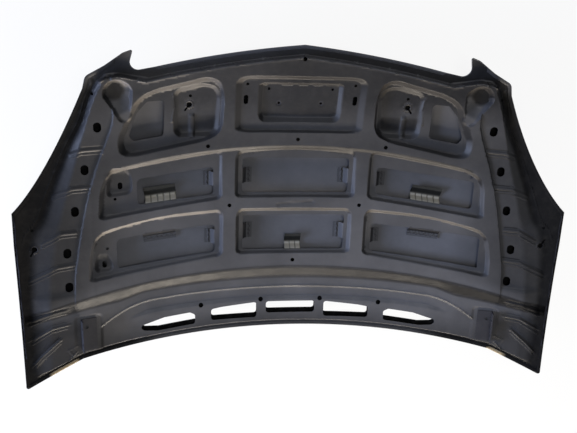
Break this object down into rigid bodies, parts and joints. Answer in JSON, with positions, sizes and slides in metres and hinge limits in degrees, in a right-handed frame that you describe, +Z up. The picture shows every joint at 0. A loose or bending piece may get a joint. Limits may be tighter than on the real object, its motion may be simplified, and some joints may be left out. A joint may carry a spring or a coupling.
{
  "type": "car bonnet",
  "caption": "Pressed steel car bonnet, skin down: hemmed outer skin, ribbed inner panel with recesses and rear slots, hinge brackets and striker seat.",
  "frame": {"origin": "under the middle of the bonnet, at the lowest point of the outer skin it lies on", "axes": "+X across the bonnet, +Y towards its nose, +Z up out of the inner panel"},
  "size_m": [1.52, 0.9525, 0.1681],
  "materials": {
    "skin": "satin dark grey primer",
    "panel": "satin dark grey primer",
    "bracket": "satin dark grey primer",
    "reinforcement": "satin dark grey primer",
    "sealer": "matt",
    "mastic": "matt",
    "nut": "satin"
  },
  "bodies": {
    "root": {"outer_skin": "skin", "inner_panel": "panel", "hinge_bracket_left": "bracket", "hinge_bracket_right": "bracket", "hinge_reinforcement_left": "reinforcement", "hinge_reinforcement_right": "reinforcement", "striker_reinforcement": "reinforcement", "hem_sealer_left": "sealer", "hem_sealer_right": "sealer", "mastic_pad_1": "mastic", "mastic_pad_2": "mastic", "mastic_pad_3": "mastic", "mastic_pad_4": "mastic", "mastic_pad_5": "mastic", "mastic_pad_6": "mastic", "mastic_pad_7": "mastic", "mastic_pad_8": "mastic", "mastic_pad_9": "mastic", "mastic_pad_10": "mastic", "mastic_pad_11": "mastic", "mastic_pad_12": "mastic", "mastic_pad_13": "mastic", "striker_nut_1": "nut", "striker_nut_2": "nut", "striker_nut_3": "nut", "striker_nut_4": "nut"}
  },
  "joints": []
}
